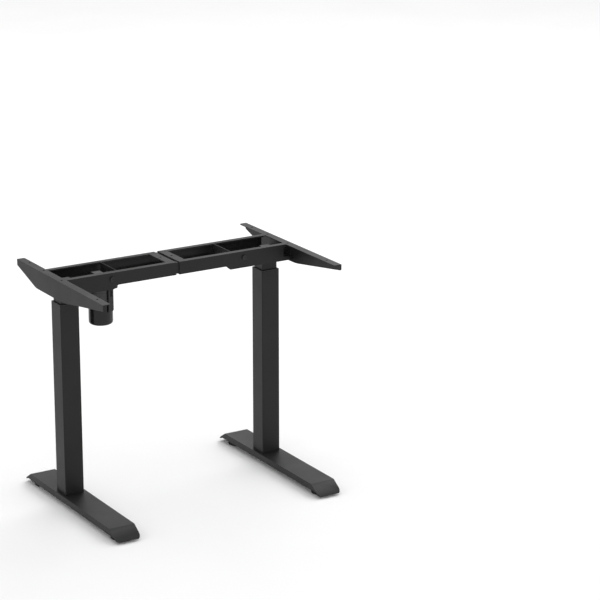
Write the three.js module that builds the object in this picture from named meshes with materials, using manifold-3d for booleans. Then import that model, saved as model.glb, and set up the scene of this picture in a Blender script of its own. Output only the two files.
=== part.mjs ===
// Lifting frame of a height adjustable standing desk, at its lowest height and near its narrowest width.
// Millimetres, +Z up, +X from the motor column to the plain column, the user stands on the -Y side.
import * as THREE from "three";
import { mergeVertices } from "three/addons/utils/BufferGeometryUtils.js";
import Module from "manifold-3d";

// ---- driving dimensions -------------------------------------------------------------------------------
const FRAME_TOP = 730; // desktop side of the brackets and rails
const COLUMN_SPACING = 696; // between the two column axes
const GAP = 0.3; // between pieces that touch on the real frame
const CLEARANCE = 0.4; // between pieces that slide or turn in each other

const SHEET = 2.5; // pressed steel sheet
const COLUMN_OUTER = 62; // square outer tube
const TELESCOPE_STEP = 10; // how much narrower the inner tube is
const TUBE_WALL = 1.5;
const TUBE_CORNER = 3;
const OUTER_TUBE_DROP = 91.4; // outer tube top below the frame top
const INNER_TUBE_LIFT = 12; // inner tube bottom above the foot

const FOOT_TOP = 38;
const FOOT_WIDTH = 83;
const FOOT_FRONT = 337; // flat top, column axis to front bend
const FOOT_BACK = 192.5;
const FOOT_FLANGE = 20; // height of the side flanges
const TAB_RUN = 45; // the end tabs reach this far past the bends
const TAB_LIFT = 9; // the end of a tab above the floor
const TAB_CORNER = 17;

const GLIDE_RADIUS = 30;
const GLIDE_HEIGHT = 7;
const GLIDE_EDGE = 1.5;
const GLIDE_NECK = 9;
const GLIDE_NECK_HEIGHT = 5;
const GLIDE_STUD = 4;
const GLIDE_STUD_COVER = 6; // stud top below the foot top
const GLIDE_INSET = 10; // glide axis behind the bend
const WELD_NUT_DEPTH = 18; // weld nut bottom below the foot top

const BRACKET_OUTER = 54.3; // column axis to the outer face of the side bracket
const BRACKET_FLANGE = 25;
const BRACKET_FRONT = 355.5;
const BRACKET_BACK = 211;
const BRACKET_DEPTH = 60;
const BRACKET_END_DEPTH = 19;
const BRACKET_KNEE_FRONT = 95;
const BRACKET_KNEE_BACK = 83;
const BRACKET_HOLES = [151, 56, -66, -294];
const SCREW_HOLE = 3.5; // radius of the holes for the desktop screws

const RAIL_FACE = { front: 75, rear: 66 }; // from the column axis to the outer face of each rail
const RAIL_HEIGHT = 40;
const RAIL_FLANGE = 18;
const RAIL_MIDDLE_GAP = 10.7; // between the left and right rails
const RAIL_MIDDLE = -4; // middle of that gap
const HEAD_DEPTH = 52; // the rails are deeper around a column
const HEAD_SLOPE = 14;
const HEAD_REACH = { left: 141, right: 184 }; // from the column axis to where the rails get deeper
const HEAD_MARGIN = 3; // the head's sheet starts past the slope
const MOTOR_SHELF = 16; // the left saddle goes on under the thin rails, to hold the motor
const RAIL_NOTCH = 8; // cut-back of the rail web under the side bracket
const RAIL_NOTCH_TOP = 9;
const END_PLATE_WIDTH = 27;
const PARTITION_SETBACK = { left: 147, right: 159 }; // from the column axis
const PARTITION_SHEET = 2;
const PARTITION_HOLE = 13;
const PARTITION_PINHOLE = 1.8;
const PARTITION_PINHOLE_DROPS = [8, 20];
const PARTITION_PINHOLE_INSET = 8;

const SLIDE_RAIL_OVERRUN = 22; // past the column axis
const SLIDE_RAIL_DEPTH = 15;
const LOCK_BOLT_SETBACK = 121; // from the column axis
const LOCK_BOLT_DROP = 19.5;
const LOCK_BOLT_HEAD = 7.5;
const LOCK_BOLT_HEIGHT = 4;
const LOCK_BOLT_SHANK = 4;
const LOCK_BOLT_KEY = 2.6; // hexagon socket, to its corners
const LOCK_BOLT_KEY_DEPTH = 2;

const SCREW_RADIUS = 8;
const SCREW_LIFT = 42; // screw bottom above the foot
const SCREW_JOURNAL = 3;
const NUT_DROP = 185; // nut bottom below the frame top
const NUT_LENGTH = 30;
const NUT_RADIUS = 15;
const NUT_TUBE_WALL = 2.5;
const BASE_PLATE = 5;
const FOOT_BOLT_AT = 18;
const FOOT_BOLT_HOLE = 4.3;
const SHOE_LENGTH = 40;
const SHOE_LIFT = 2; // above the inner tube bottom
const COLLAR_SKIRT = 28;
const COLLAR_LIP = 2.5;

const BEVEL_RADIUS = 8;
const BEVEL_TEETH = 12;
const BEVEL_HUB = 2.5; // height of the hub behind the teeth
const BEVEL_HUB_SHARE = 0.65; // hub radius as a share of the pitch radius
const BEVEL_SMALL_END = 0.55; // small end of the teeth as a share of the large end
const ROD_ACROSS_FLATS = 6;
const ROD_SETBACK = 58; // rod end from the right column axis
const DRIVE_TUBE_ACROSS_FLATS = 10;
const DRIVE_TUBE_SETBACK = 163; // tube end from the left column axis
const STUB_ROOT = 3;
const CASE_WALL = 3;
const CASE_CHAMFER = 8; // along the top edges of a gear case
const GEAR_ROOM = 1; // round a gear inside its case
const BUSH_RADIUS = 7;
const BEARING_RADIUS = 13;
const BEARING_HEIGHT = 5;

const MOTOR_SETBACK = 107; // motor axis from the left column axis
const WHEEL_RADIUS = 12;
const WORM_RADIUS = 10;
const WHEEL_TEETH = 30;
const WHEEL_WIDTH = 10;
const WORM_STARTS = 2;
const WORM_TURNS = 1.6;
const WORM_COLLAR = 1.5; // core past the thread at each end
const MOTOR_DROP = 168; // motor bottom below the frame top
const MOTOR_RADIUS = 37;
const MOTOR_FILLET = 9;
const MOTOR_WALL = 2.5;
const MOTOR_SHAFT = 4;
const CAN_DROP = 90; // top of the can below the frame top
const BELL_STEP = 1; // the bell is this much narrower than the can, apart from its ribs
const BELL_RIBS = 3;
const BELL_RIB_HEIGHT = 3;
const BELL_FLANGE = 6.5;
const BELL_FLANGE_CORNER = 5;
const BELL_FLANGE_OUTER = 30; // from the motor axis towards the column
const BELL_FLANGE_INNER = 41; // from the motor axis towards the middle
const MAGNET_LIFT = 64; // above the motor bottom
const MAGNET_COVER = 4; // below the bell's flange
const ARMATURE_RADIUS = 15;
const ARMATURE_TAIL = 20; // shaft below the armature
const LEAD_SLOT_LIFT = 42; // above the motor bottom
const LEAD_SLOT_SIDE = 4.8; // off the motor axis
const LEAD_SLOT_WIDTH = 3.2;
const LEAD_SLOT_END = 3; // left closed at the top of the can and at the bell's ends
const PLUG_LIFT = 45; // above the motor bottom
const PLUG_ROOT = 6.8; // from the motor axis to the near side of the housing
const PLUG_SIDE = 23; // from the motor axis to the far side of the housing
const PLUG_FRONT = 41.5; // from the motor axis
const PLUG_CHAMFER = 4;
const PLUG_SLOT_WIDTH = 5;
const PLUG_SLOT_HEIGHT = 18;
const PLUG_SLOT_DEPTH = 4.6;
const PLUG_SLOT_DROP = 2.2; // from the top of the housing
const PLUG_SLOT_SIDE = 5.8; // from the far side of the housing

// ---- sizes that follow from them ----------------------------------------------------------------------
const COLUMN_AT = COLUMN_SPACING / 2;
const COLUMN_INNER = COLUMN_OUTER - TELESCOPE_STEP;
const OUTER_BORE = COLUMN_OUTER - 2 * TUBE_WALL;
const OUTER_TUBE_TOP = FRAME_TOP - OUTER_TUBE_DROP;
const INNER_TUBE_BOTTOM = FOOT_TOP + INNER_TUBE_LIFT;
const TAB_DROP = FOOT_TOP - TAB_LIFT;
const BENT_LENGTH_FRONT = FOOT_FRONT + TAB_RUN;
const BENT_LENGTH_BACK = FOOT_BACK + TAB_RUN;
const RAIL_BOTTOM = FRAME_TOP - RAIL_HEIGHT;
const HEAD_BOTTOM = FRAME_TOP - HEAD_DEPTH;
const BRACKET_FACE = COLUMN_AT + BRACKET_OUTER;
const BRACKET_INNER = BRACKET_FACE - BRACKET_FLANGE;
const WEB_INNER = BRACKET_FACE - SHEET;
const LOCK_BOLT_AT = COLUMN_AT - LOCK_BOLT_SETBACK;
const LOCK_BOLT_Z = FRAME_TOP - LOCK_BOLT_DROP;
const SADDLE_BOTTOM = HEAD_BOTTOM + SHEET + GAP;
const SADDLE_TOP = SADDLE_BOTTOM + SHEET;
const SADDLE_INNER = {
  left: COLUMN_AT - HEAD_REACH.left + HEAD_SLOPE + HEAD_MARGIN - MOTOR_SHELF,
  right: COLUMN_AT - HEAD_REACH.right + HEAD_SLOPE + HEAD_MARGIN,
};
const BASE_PLATE_BOTTOM = FOOT_TOP + GAP;
const NUT_TUBE_BOTTOM = BASE_PLATE_BOTTOM + BASE_PLATE + GAP;
const NUT_BOTTOM = FRAME_TOP - NUT_DROP;
const SCREW_BOTTOM = FOOT_TOP + SCREW_LIFT;
const BEVEL_ADDENDUM = 0.085 * BEVEL_RADIUS;
const BEVEL_DEDENDUM = 0.165 * BEVEL_RADIUS;
const MODULE = (2 * WHEEL_RADIUS) / WHEEL_TEETH;
const ADDENDUM = 0.5 * MODULE;
const DEDENDUM = 1.1 * MODULE;
const CASE_BOTTOM = SADDLE_TOP + GAP;
const CASE_FLOOR = CASE_BOTTOM + BEARING_HEIGHT + GAP;
const DRIVE_HEIGHT = Math.max(
  CASE_FLOOR + GEAR_ROOM + BEVEL_HUB + BEVEL_RADIUS,
  CASE_BOTTOM + CASE_WALL + GEAR_ROOM + WHEEL_RADIUS + ADDENDUM);
const CASE_HALF = CASE_WALL + GEAR_ROOM + Math.max(BEVEL_RADIUS + BEVEL_HUB, BEARING_RADIUS);
const CASE_TOP = DRIVE_HEIGHT + BEVEL_RADIUS + BEVEL_ADDENDUM + GEAR_ROOM + CASE_WALL;
const WORM_CASE_TOP = DRIVE_HEIGHT + WHEEL_RADIUS + ADDENDUM + GEAR_ROOM + CASE_WALL;
const MOTOR_X = MOTOR_SETBACK - COLUMN_AT;
const MOTOR_Y = -(WHEEL_RADIUS + WORM_RADIUS);
const MOTOR_TOP = SADDLE_BOTTOM - GAP;
const MOTOR_BOTTOM = FRAME_TOP - MOTOR_DROP;
const CAN_TOP = FRAME_TOP - CAN_DROP;
const BELL_BOTTOM = CAN_TOP + GAP;
const FLANGE_BOTTOM = MOTOR_TOP - BELL_FLANGE;
const MAGNET_BOTTOM = MOTOR_BOTTOM + MAGNET_LIFT;
const MAGNET_TOP = FLANGE_BOTTOM - MAGNET_COVER;
const SIDES = { left: -1, right: 1 };
const FACES = { front: -1, rear: 1 };
const railFace = (face) => FACES[face] * RAIL_FACE[face];
const railInnerFace = (face) => FACES[face] * (RAIL_FACE[face] - SHEET);
const railLip = (face) => FACES[face] * (RAIL_FACE[face] - RAIL_FLANGE);

// ---- materials ----------------------------------------------------------------------------------------
const FINISHES = {
  powder_coat: { color: 0x2a2a2b, roughness: 0.5, metalness: 0.1 },
  motor_coat: { color: 0x1f1f20, roughness: 0.3, metalness: 0.2 },
  black_plastic: { color: 0x1a1a1b, roughness: 0.55, metalness: 0 },
  black_rubber: { color: 0x171717, roughness: 0.8, metalness: 0 },
  zinc_steel: { color: 0x9a9da1, roughness: 0.35, metalness: 1 },
  black_screw: { color: 0x1b1b1c, roughness: 0.4, metalness: 0.9 },
  black_casting: { color: 0x1d1d1e, roughness: 0.6, metalness: 0.3 },
  bronze: { color: 0x9b7440, roughness: 0.4, metalness: 1 },
};

// ---- solids -------------------------------------------------------------------------------------------
const wasm = await Module();
wasm.setup();

/** Merges a geometry's shared vertices, drops its flat triangles and turns its faces outwards. */
function closedGeometry(source) {
  const bare = new THREE.BufferGeometry();
  bare.setAttribute("position", source.getAttribute("position"));
  bare.setIndex(source.getIndex());
  const merged = mergeVertices(bare, 1e-3);
  const at = merged.getAttribute("position");
  const index = merged.getIndex().array;
  const kept = [];
  const corner = [new THREE.Vector3(), new THREE.Vector3(), new THREE.Vector3()];
  let volume = 0;
  for (let i = 0; i < index.length; i += 3) {
    const [a, b, c] = [index[i], index[i + 1], index[i + 2]];
    if (a === b || b === c || c === a) continue;
    kept.push(a, b, c);
    [a, b, c].forEach((v, k) => corner[k].fromBufferAttribute(at, v));
    volume += corner[0].dot(corner[1].cross(corner[2]));
  }
  if (volume < 0) kept.reverse();
  merged.setIndex(kept);
  return merged;
}

function solid(source) {
  const geometry = closedGeometry(source);
  const vertProperties = new Float32Array(geometry.getAttribute("position").array);
  const triVerts = new Uint32Array(geometry.getIndex().array);
  return new wasm.Manifold(new wasm.Mesh({ numProp: 3, vertProperties, triVerts }));
}

function geometryOf(body) {
  const mesh = body.getMesh();
  const geometry = new THREE.BufferGeometry();
  geometry.setAttribute("position", new THREE.BufferAttribute(mesh.vertProperties, 3));
  geometry.setIndex(new THREE.BufferAttribute(mesh.triVerts, 1));
  return geometry;
}

const join = (first, ...others) => others.reduce((sum, next) => sum.add(next), first);
const cut = (first, ...others) => others.reduce((rest, next) => rest.subtract(next), first);

/** A block between two corners, given in any order. */
function block([x0, y0, z0], [x1, y1, z1]) {
  const geometry = new THREE.BoxGeometry(Math.abs(x1 - x0), Math.abs(y1 - y0), Math.abs(z1 - z0));
  return solid(geometry.translate((x0 + x1) / 2, (y0 + y1) / 2, (z0 + z1) / 2));
}

/** A round bar along Z. */
function barZ(radius, x, y, z0, z1, segments = 24) {
  const geometry = new THREE.CylinderGeometry(radius, radius, Math.abs(z1 - z0), segments);
  return solid(geometry.rotateX(Math.PI / 2).translate(x, y, (z0 + z1) / 2));
}

/** A bar along X: round, or a hexagon when it has six segments. */
function barX(radius, y, z, x0, x1, segments = 24) {
  const geometry = new THREE.CylinderGeometry(radius, radius, Math.abs(x1 - x0), segments);
  return solid(geometry.rotateZ(-Math.PI / 2).translate((x0 + x1) / 2, y, z));
}

/** A round bar along Y. */
function barY(radius, x, z, y0, y1, segments = 24) {
  const geometry = new THREE.CylinderGeometry(radius, radius, Math.abs(y1 - y0), segments);
  return solid(geometry.translate(x, (y0 + y1) / 2, z));
}

const hexRadius = (acrossFlats) => acrossFlats / Math.sqrt(3);

/** A closed outline with rounded corners; each point is [u, v] or [u, v, radius]. */
function outline(points, radius = 0) {
  const shape = new THREE.Shape();
  const at = points.map(([u, v]) => new THREE.Vector2(u, v));
  points.forEach((point, i) => {
    const here = at[i];
    const before = at[(i + at.length - 1) % at.length].clone().sub(here);
    const after = at[(i + 1) % at.length].clone().sub(here);
    const wanted = point[2] ?? radius;
    const reach = Math.min(wanted, before.length() / 2.1, after.length() / 2.1);
    const start = here.clone().addScaledVector(before.normalize(), reach);
    const end = here.clone().addScaledVector(after.normalize(), reach);
    if (i === 0) shape.moveTo(start.x, start.y);
    else shape.lineTo(start.x, start.y);
    if (reach > 0) shape.quadraticCurveTo(here.x, here.y, end.x, end.y);
  });
  shape.closePath();
  return shape;
}

const sheetOptions = (depth) => ({ depth, bevelEnabled: false, curveSegments: 4 });

/** An (x, y) outline raised from z0 to z1. */
function plateZ(shape, z0, z1) {
  return solid(new THREE.ExtrudeGeometry(shape, sheetOptions(z1 - z0)).translate(0, 0, z0));
}

/** A (y, z) outline drawn out from x0 to x1. */
function plateX(shape, x0, x1) {
  const turn = new THREE.Matrix4().makeBasis(
    new THREE.Vector3(0, 1, 0), new THREE.Vector3(0, 0, 1), new THREE.Vector3(1, 0, 0));
  const geometry = new THREE.ExtrudeGeometry(shape, sheetOptions(Math.abs(x1 - x0)));
  return solid(geometry.applyMatrix4(turn).translate(Math.min(x0, x1), 0, 0));
}

/** An (x, z) outline drawn out from y0 to y1. */
function plateY(shape, y0, y1) {
  const geometry = new THREE.ExtrudeGeometry(shape, sheetOptions(Math.abs(y1 - y0)));
  return solid(geometry.rotateX(Math.PI / 2).translate(0, Math.max(y0, y1), 0));
}

/** A turned part on the Z axis at x, y from [radius, z] points that start and end on the axis. */
function turned(points, x, y, segments = 32) {
  const profile = points.map(([radius, z]) => new THREE.Vector2(radius, z));
  return solid(new THREE.LatheGeometry(profile, segments).rotateX(Math.PI / 2).translate(x, y, 0));
}

function squareOutline(width, corner) {
  const half = width / 2;
  return outline([[-half, -half], [half, -half], [half, half], [-half, half]], corner);
}

/** A square tube on the Z axis at x. */
function squareTube(outer, inner, corner, x, z0, z1) {
  const shape = squareOutline(outer, corner);
  shape.holes.push(squareOutline(inner, Math.max(corner - (outer - inner) / 2, 1)));
  return solid(new THREE.ExtrudeGeometry(shape, sheetOptions(z1 - z0)).translate(x, 0, z0));
}

// ---- feet ---------------------------------------------------------------------------------------------
/** Outline of a sheet bent along the outer points, with its thickness on their right-hand side. */
function bentStrip(points, thickness) {
  const at = points.map(([u, v]) => new THREE.Vector2(u, v));
  const normals = at.slice(1).map((end, i) => {
    const along = end.clone().sub(at[i]).normalize();
    return new THREE.Vector2(along.y, -along.x);
  });
  const inner = at.map((point, i) => {
    const before = normals[Math.max(i - 1, 0)];
    const after = normals[Math.min(i, normals.length - 1)];
    const middle = before.clone().add(after);
    return point.clone().addScaledVector(middle, (2 * thickness) / middle.lengthSq());
  });
  return outline([...points, ...inner.reverse().map((point) => [point.x, point.y])]);
}

/** A side flange of the foot, with slanted ends that meet the middle of the tabs' sheet. */
function flangeOutline() {
  const slant = TAB_RUN / TAB_DROP;
  const inset = ((SHEET / 2) * Math.hypot(TAB_RUN, TAB_DROP)) / TAB_DROP;
  const reach = (below) => below * slant - inset;
  return outline([
    [-FOOT_FRONT - reach(FOOT_FLANGE), FOOT_TOP - FOOT_FLANGE],
    [FOOT_BACK + reach(FOOT_FLANGE), FOOT_TOP - FOOT_FLANGE],
    [FOOT_BACK + reach(SHEET / 2), FOOT_TOP - SHEET / 2],
    [-FOOT_FRONT - reach(SHEET / 2), FOOT_TOP - SHEET / 2],
  ]);
}

function footSheet(x) {
  const half = FOOT_WIDTH / 2;
  const bend = [
    [-BENT_LENGTH_FRONT, FOOT_TOP - TAB_DROP],
    [-FOOT_FRONT, FOOT_TOP],
    [FOOT_BACK, FOOT_TOP],
    [BENT_LENGTH_BACK, FOOT_TOP - TAB_DROP],
  ];
  const strip = plateX(bentStrip(bend, SHEET), x - half, x + half);
  const plan = outline([
    [x - half, -BENT_LENGTH_FRONT],
    [x + half, -BENT_LENGTH_FRONT],
    [x + half, BENT_LENGTH_BACK],
    [x - half, BENT_LENGTH_BACK],
  ], TAB_CORNER);
  const flange = (side) => plateX(flangeOutline(), x + side * (half - SHEET), x + side * half);
  return join(strip.intersect(plateZ(plan, 0, FOOT_TOP + 1)), flange(-1), flange(1));
}

const GLIDES = { front: -(FOOT_FRONT - GLIDE_INSET), rear: FOOT_BACK - GLIDE_INSET };
const FOOT_BOLTS = [-1, 1].flatMap((i) => [-1, 1].map((j) => [i * FOOT_BOLT_AT, j * FOOT_BOLT_AT]));

function foot(x) {
  const nutTop = FOOT_TOP - SHEET / 2;
  const nutBottom = FOOT_TOP - WELD_NUT_DEPTH;
  const nuts = Object.values(GLIDES).map((y) => barZ(GLIDE_NECK, x, y, nutBottom, nutTop, 6));
  const bores = Object.values(GLIDES).map(
    (y) => barZ(GLIDE_STUD + CLEARANCE, x, y, nutBottom - 1, FOOT_TOP - SHEET, 16));
  const bolts = FOOT_BOLTS.map(([u, v]) => barZ(FOOT_BOLT_HOLE, x + u, v, 0, FOOT_TOP + 1, 12));
  return cut(join(footSheet(x), ...nuts), ...bores, ...bolts);
}

function glide(x, y) {
  const neckTop = GLIDE_HEIGHT + GLIDE_NECK_HEIGHT;
  const studTop = FOOT_TOP - GLIDE_STUD_COVER;
  return turned([
    [0, 0],
    [GLIDE_RADIUS - GLIDE_EDGE, 0],
    [GLIDE_RADIUS, GLIDE_EDGE],
    [GLIDE_RADIUS, GLIDE_HEIGHT - GLIDE_EDGE],
    [GLIDE_RADIUS - GLIDE_EDGE, GLIDE_HEIGHT],
    [GLIDE_NECK, GLIDE_HEIGHT],
    [GLIDE_NECK, neckTop],
    [GLIDE_STUD, neckTop],
    [GLIDE_STUD, studTop],
    [0, studTop],
  ], x, y);
}

// ---- columns ------------------------------------------------------------------------------------------
const outerTube = (x) =>
  squareTube(COLUMN_OUTER, OUTER_BORE, TUBE_CORNER, x, FOOT_TOP + GAP, OUTER_TUBE_TOP);

const innerTube = (x) => squareTube(
  COLUMN_INNER, COLUMN_INNER - 2 * TUBE_WALL, TUBE_CORNER, x, INNER_TUBE_BOTTOM, SADDLE_BOTTOM - GAP);

function basePlate(x) {
  const shape = squareOutline(OUTER_BORE - 2 * GAP, TUBE_CORNER);
  const top = BASE_PLATE_BOTTOM + BASE_PLATE;
  const plate = plateZ(shape, BASE_PLATE_BOTTOM, top).translate([x, 0, 0]);
  return cut(plate, ...FOOT_BOLTS.map(([u, v]) => barZ(FOOT_BOLT_HOLE, x + u, v, 0, top + 1, 12)));
}

function guideCollar(x) {
  const bore = COLUMN_INNER + 2 * CLEARANCE;
  const lipBottom = OUTER_TUBE_TOP + GAP;
  const skirt = squareTube(
    OUTER_BORE - 2 * GAP, bore, TUBE_CORNER, x, OUTER_TUBE_TOP - COLLAR_SKIRT, lipBottom + COLLAR_LIP / 2);
  return skirt.add(squareTube(COLUMN_OUTER, bore, TUBE_CORNER, x, lipBottom, lipBottom + COLLAR_LIP));
}

function slideShoe(x) {
  const bottom = INNER_TUBE_BOTTOM + SHOE_LIFT;
  return squareTube(
    OUTER_BORE - 2 * CLEARANCE, COLUMN_INNER + 2 * GAP, TUBE_CORNER, x, bottom, bottom + SHOE_LENGTH);
}

const nutTube = (x) => cut(
  barZ(NUT_RADIUS, x, 0, NUT_TUBE_BOTTOM, NUT_BOTTOM - GAP),
  barZ(NUT_RADIUS - NUT_TUBE_WALL, x, 0, 0, NUT_BOTTOM));

const liftNut = (x) => cut(
  barZ(NUT_RADIUS, x, 0, NUT_BOTTOM, NUT_BOTTOM + NUT_LENGTH),
  barZ(SCREW_RADIUS + CLEARANCE, x, 0, 0, FRAME_TOP));

function leadScrew(x) {
  const top = DRIVE_HEIGHT - BEVEL_RADIUS / 2;
  return turned([
    [0, SCREW_BOTTOM],
    [SCREW_RADIUS, SCREW_BOTTOM],
    [SCREW_RADIUS, CASE_FLOOR],
    [SCREW_JOURNAL, CASE_FLOOR],
    [SCREW_JOURNAL, top],
    [0, top],
  ], x, 0, 24);
}

const screwBearing = (x) => cut(
  barZ(BEARING_RADIUS, x, 0, CASE_BOTTOM, CASE_BOTTOM + BEARING_HEIGHT),
  barZ(SCREW_RADIUS + CLEARANCE, x, 0, 0, FRAME_TOP));

// ---- gears --------------------------------------------------------------------------------------------
const TOOTH_ROOT = 0.27; // half a tooth at its root, as a share of the pitch
const TOOTH_TIP = 0.12;

/** A toothed wheel's outline: straight-sided teeth, one of them on the +u axis. */
function gearOutline(teeth, pitchRadius, addendum, dedendum) {
  const pitch = (2 * Math.PI) / teeth;
  const flanks = [
    [-dedendum, -TOOTH_ROOT],
    [addendum, -TOOTH_TIP],
    [addendum, TOOTH_TIP],
    [-dedendum, TOOTH_ROOT],
  ];
  const points = Array.from({ length: teeth }, (_, tooth) => flanks.map(([height, share]) => {
    const angle = (tooth + share) * pitch;
    return [(pitchRadius + height) * Math.cos(angle), (pitchRadius + height) * Math.sin(angle)];
  }));
  return outline(points.flat());
}

/** A straight bevel gear on +Z: its teeth run from the back face at z = 0 towards the apex at z = radius. */
function bevelGear() {
  const shape = gearOutline(BEVEL_TEETH, BEVEL_RADIUS, BEVEL_ADDENDUM, BEVEL_DEDENDUM);
  const geometry = new THREE.ExtrudeGeometry(shape, sheetOptions(1));
  const at = geometry.getAttribute("position");
  for (let i = 0; i < at.count; i += 1) {
    const scale = at.getZ(i) > 0.5 ? BEVEL_SMALL_END : 1;
    at.setXYZ(i, at.getX(i) * scale, at.getY(i) * scale, (1 - scale) * BEVEL_RADIUS);
  }
  return join(solid(geometry), barZ(BEVEL_RADIUS * BEVEL_HUB_SHARE, 0, 0, -BEVEL_HUB, 1));
}

const screwGear = (x) => cut(
  bevelGear().translate([x, 0, DRIVE_HEIGHT - BEVEL_RADIUS]),
  barZ(SCREW_JOURNAL + GAP, x, 0, CASE_BOTTOM, DRIVE_HEIGHT, 16));

/** The bevel gear on the cross shaft, half a tooth round from the one on the screw. */
function shaftGear(side, bore, boreSegments) {
  const halfTooth = 180 / BEVEL_TEETH;
  const column = side * COLUMN_AT;
  const upright = bevelGear().rotate([0, 0, halfTooth]).rotate([0, side * 90, 0]);
  const gear = upright.translate([column - side * BEVEL_RADIUS, 0, DRIVE_HEIGHT]);
  return cut(gear, barX(bore, 0, DRIVE_HEIGHT, column, column - 2 * side * BEVEL_RADIUS, boreSegments));
}

function wormWheel() {
  const shape = gearOutline(WHEEL_TEETH, WHEEL_RADIUS, ADDENDUM, DEDENDUM);
  const lean = (WORM_STARTS * MODULE) / (2 * WORM_RADIUS * WHEEL_RADIUS);
  const geometry = new THREE.ExtrudeGeometry(shape, sheetOptions(WHEEL_WIDTH));
  const at = geometry.getAttribute("position");
  const point = new THREE.Vector3();
  for (let i = 0; i < at.count; i += 1) {
    point.fromBufferAttribute(at, i);
    const along = point.z - WHEEL_WIDTH / 2;
    point.z = along;
    point.applyAxisAngle(new THREE.Vector3(0, 0, 1), lean * along);
    at.setXYZ(i, point.x, point.y, point.z);
  }
  const gapToWorm = 180 / WHEEL_TEETH - 90;
  const upright = solid(geometry).rotate([0, 0, gapToWorm]).rotate([0, 90, 0]);
  const bore = hexRadius(ROD_ACROSS_FLATS + 2 * GAP);
  return cut(
    upright.translate([MOTOR_X, 0, DRIVE_HEIGHT]),
    barX(bore, 0, DRIVE_HEIGHT, MOTOR_X - WHEEL_WIDTH, MOTOR_X + WHEEL_WIDTH, 6));
}

/** One helical thread of the worm, its middle facing the wheel. */
function wormThread(startAngle) {
  const pitch = Math.PI * MODULE;
  const lead = WORM_STARTS * pitch;
  const base = TOOTH_ROOT * pitch;
  const tip = TOOTH_TIP * pitch;
  const root = WORM_RADIUS - 1.2 * MODULE;
  const crest = WORM_RADIUS + ADDENDUM;
  const section = outline([[root, -base], [crest, -tip], [crest, tip], [root, base]]);
  const span = WORM_TURNS * 2 * Math.PI;
  const options = { depth: span, steps: Math.round(WORM_TURNS * 20), bevelEnabled: false };
  const geometry = new THREE.ExtrudeGeometry(section, options);
  const at = geometry.getAttribute("position");
  for (let i = 0; i < at.count; i += 1) {
    const angle = at.getZ(i) - span / 2;
    const turnedTo = angle + Math.PI / 2 + startAngle;
    const radius = at.getX(i);
    const height = (lead * angle) / (2 * Math.PI) + at.getY(i);
    at.setXYZ(i, radius * Math.cos(turnedTo), radius * Math.sin(turnedTo), height);
  }
  return solid(geometry).translate([MOTOR_X, MOTOR_Y, DRIVE_HEIGHT]);
}

// ---- drive --------------------------------------------------------------------------------------------
function driveRod() {
  const start = BEVEL_RADIUS * 0.6 - COLUMN_AT;
  return barX(hexRadius(ROD_ACROSS_FLATS), 0, DRIVE_HEIGHT, start, COLUMN_AT - ROD_SETBACK, 6);
}

/** Hexagon tube that the rod slides in, with a round stub for the right gear. */
function driveTube() {
  const start = DRIVE_TUBE_SETBACK - COLUMN_AT;
  const end = COLUMN_AT - CASE_HALF - STUB_ROOT;
  const bore = hexRadius(ROD_ACROSS_FLATS + 2 * CLEARANCE);
  const stubEnd = COLUMN_AT - BEVEL_RADIUS * 0.6;
  return join(
    cut(
      barX(hexRadius(DRIVE_TUBE_ACROSS_FLATS), 0, DRIVE_HEIGHT, start, end, 6),
      barX(bore, 0, DRIVE_HEIGHT, start - 1, end - 2 * STUB_ROOT, 6)),
    barX(SCREW_JOURNAL, 0, DRIVE_HEIGHT, end - STUB_ROOT, stubEnd, 16));
}

/** Inboard wall of a column gearbox, where the cross shaft comes in. */
function shaftBush(side) {
  const wall = side * (COLUMN_AT - CASE_HALF);
  const inside = wall + side * CASE_WALL;
  return cut(
    barX(BUSH_RADIUS, 0, DRIVE_HEIGHT, wall, inside),
    barX(hexRadius(ROD_ACROSS_FLATS) + CLEARANCE, 0, DRIVE_HEIGHT, wall - side, inside + side));
}

/** The shape of a gear case or of the room in it, drawn in y and z: a box with its top edges cut back. */
const caseOutline = (front, back, bottom, top, chamfer) => outline([
  [front, bottom],
  [back, bottom],
  [back, top - chamfer],
  [back - chamfer, top],
  [front + chamfer, top],
  [front, top - chamfer],
]);

/** A gear case with an even wall: half is its half length along the shaft. */
function gearCase(x, half, front, back, floor, top) {
  const roomChamfer = CASE_CHAMFER - CASE_WALL * (2 - Math.SQRT2);
  const shell = caseOutline(front, back, CASE_BOTTOM, top, CASE_CHAMFER);
  const room = caseOutline(front + CASE_WALL, back - CASE_WALL, floor, top - CASE_WALL, roomChamfer);
  const roomHalf = half - CASE_WALL;
  return cut(plateX(shell, x - half, x + half), plateX(room, x - roomHalf, x + roomHalf));
}

function gearboxCase(side) {
  const x = side * COLUMN_AT;
  return cut(
    gearCase(x, CASE_HALF, -CASE_HALF, CASE_HALF, CASE_FLOOR, CASE_TOP),
    barX(BUSH_RADIUS + GAP, 0, DRIVE_HEIGHT, x, x - side * (CASE_HALF + 1)),
    barZ(BEARING_RADIUS + GAP, x, 0, CASE_BOTTOM - 1, CASE_FLOOR + 1));
}

/** The case round the worm and its wheel, on top of the motor. */
function motorGearcase() {
  const half = CASE_WALL + GEAR_ROOM + WORM_RADIUS + ADDENDUM;
  const back = WHEEL_RADIUS + ADDENDUM + GEAR_ROOM + CASE_WALL;
  const shaftHole = hexRadius(ROD_ACROSS_FLATS) + CLEARANCE;
  return cut(
    gearCase(MOTOR_X, half, MOTOR_Y - half, back, CASE_BOTTOM + CASE_WALL, WORM_CASE_TOP),
    barX(shaftHole, 0, DRIVE_HEIGHT, MOTOR_X - half - 1, MOTOR_X + half + 1),
    barZ(MOTOR_SHAFT + CLEARANCE, MOTOR_X, MOTOR_Y, CASE_BOTTOM - 1, CASE_BOTTOM + CASE_WALL + 1));
}

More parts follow.
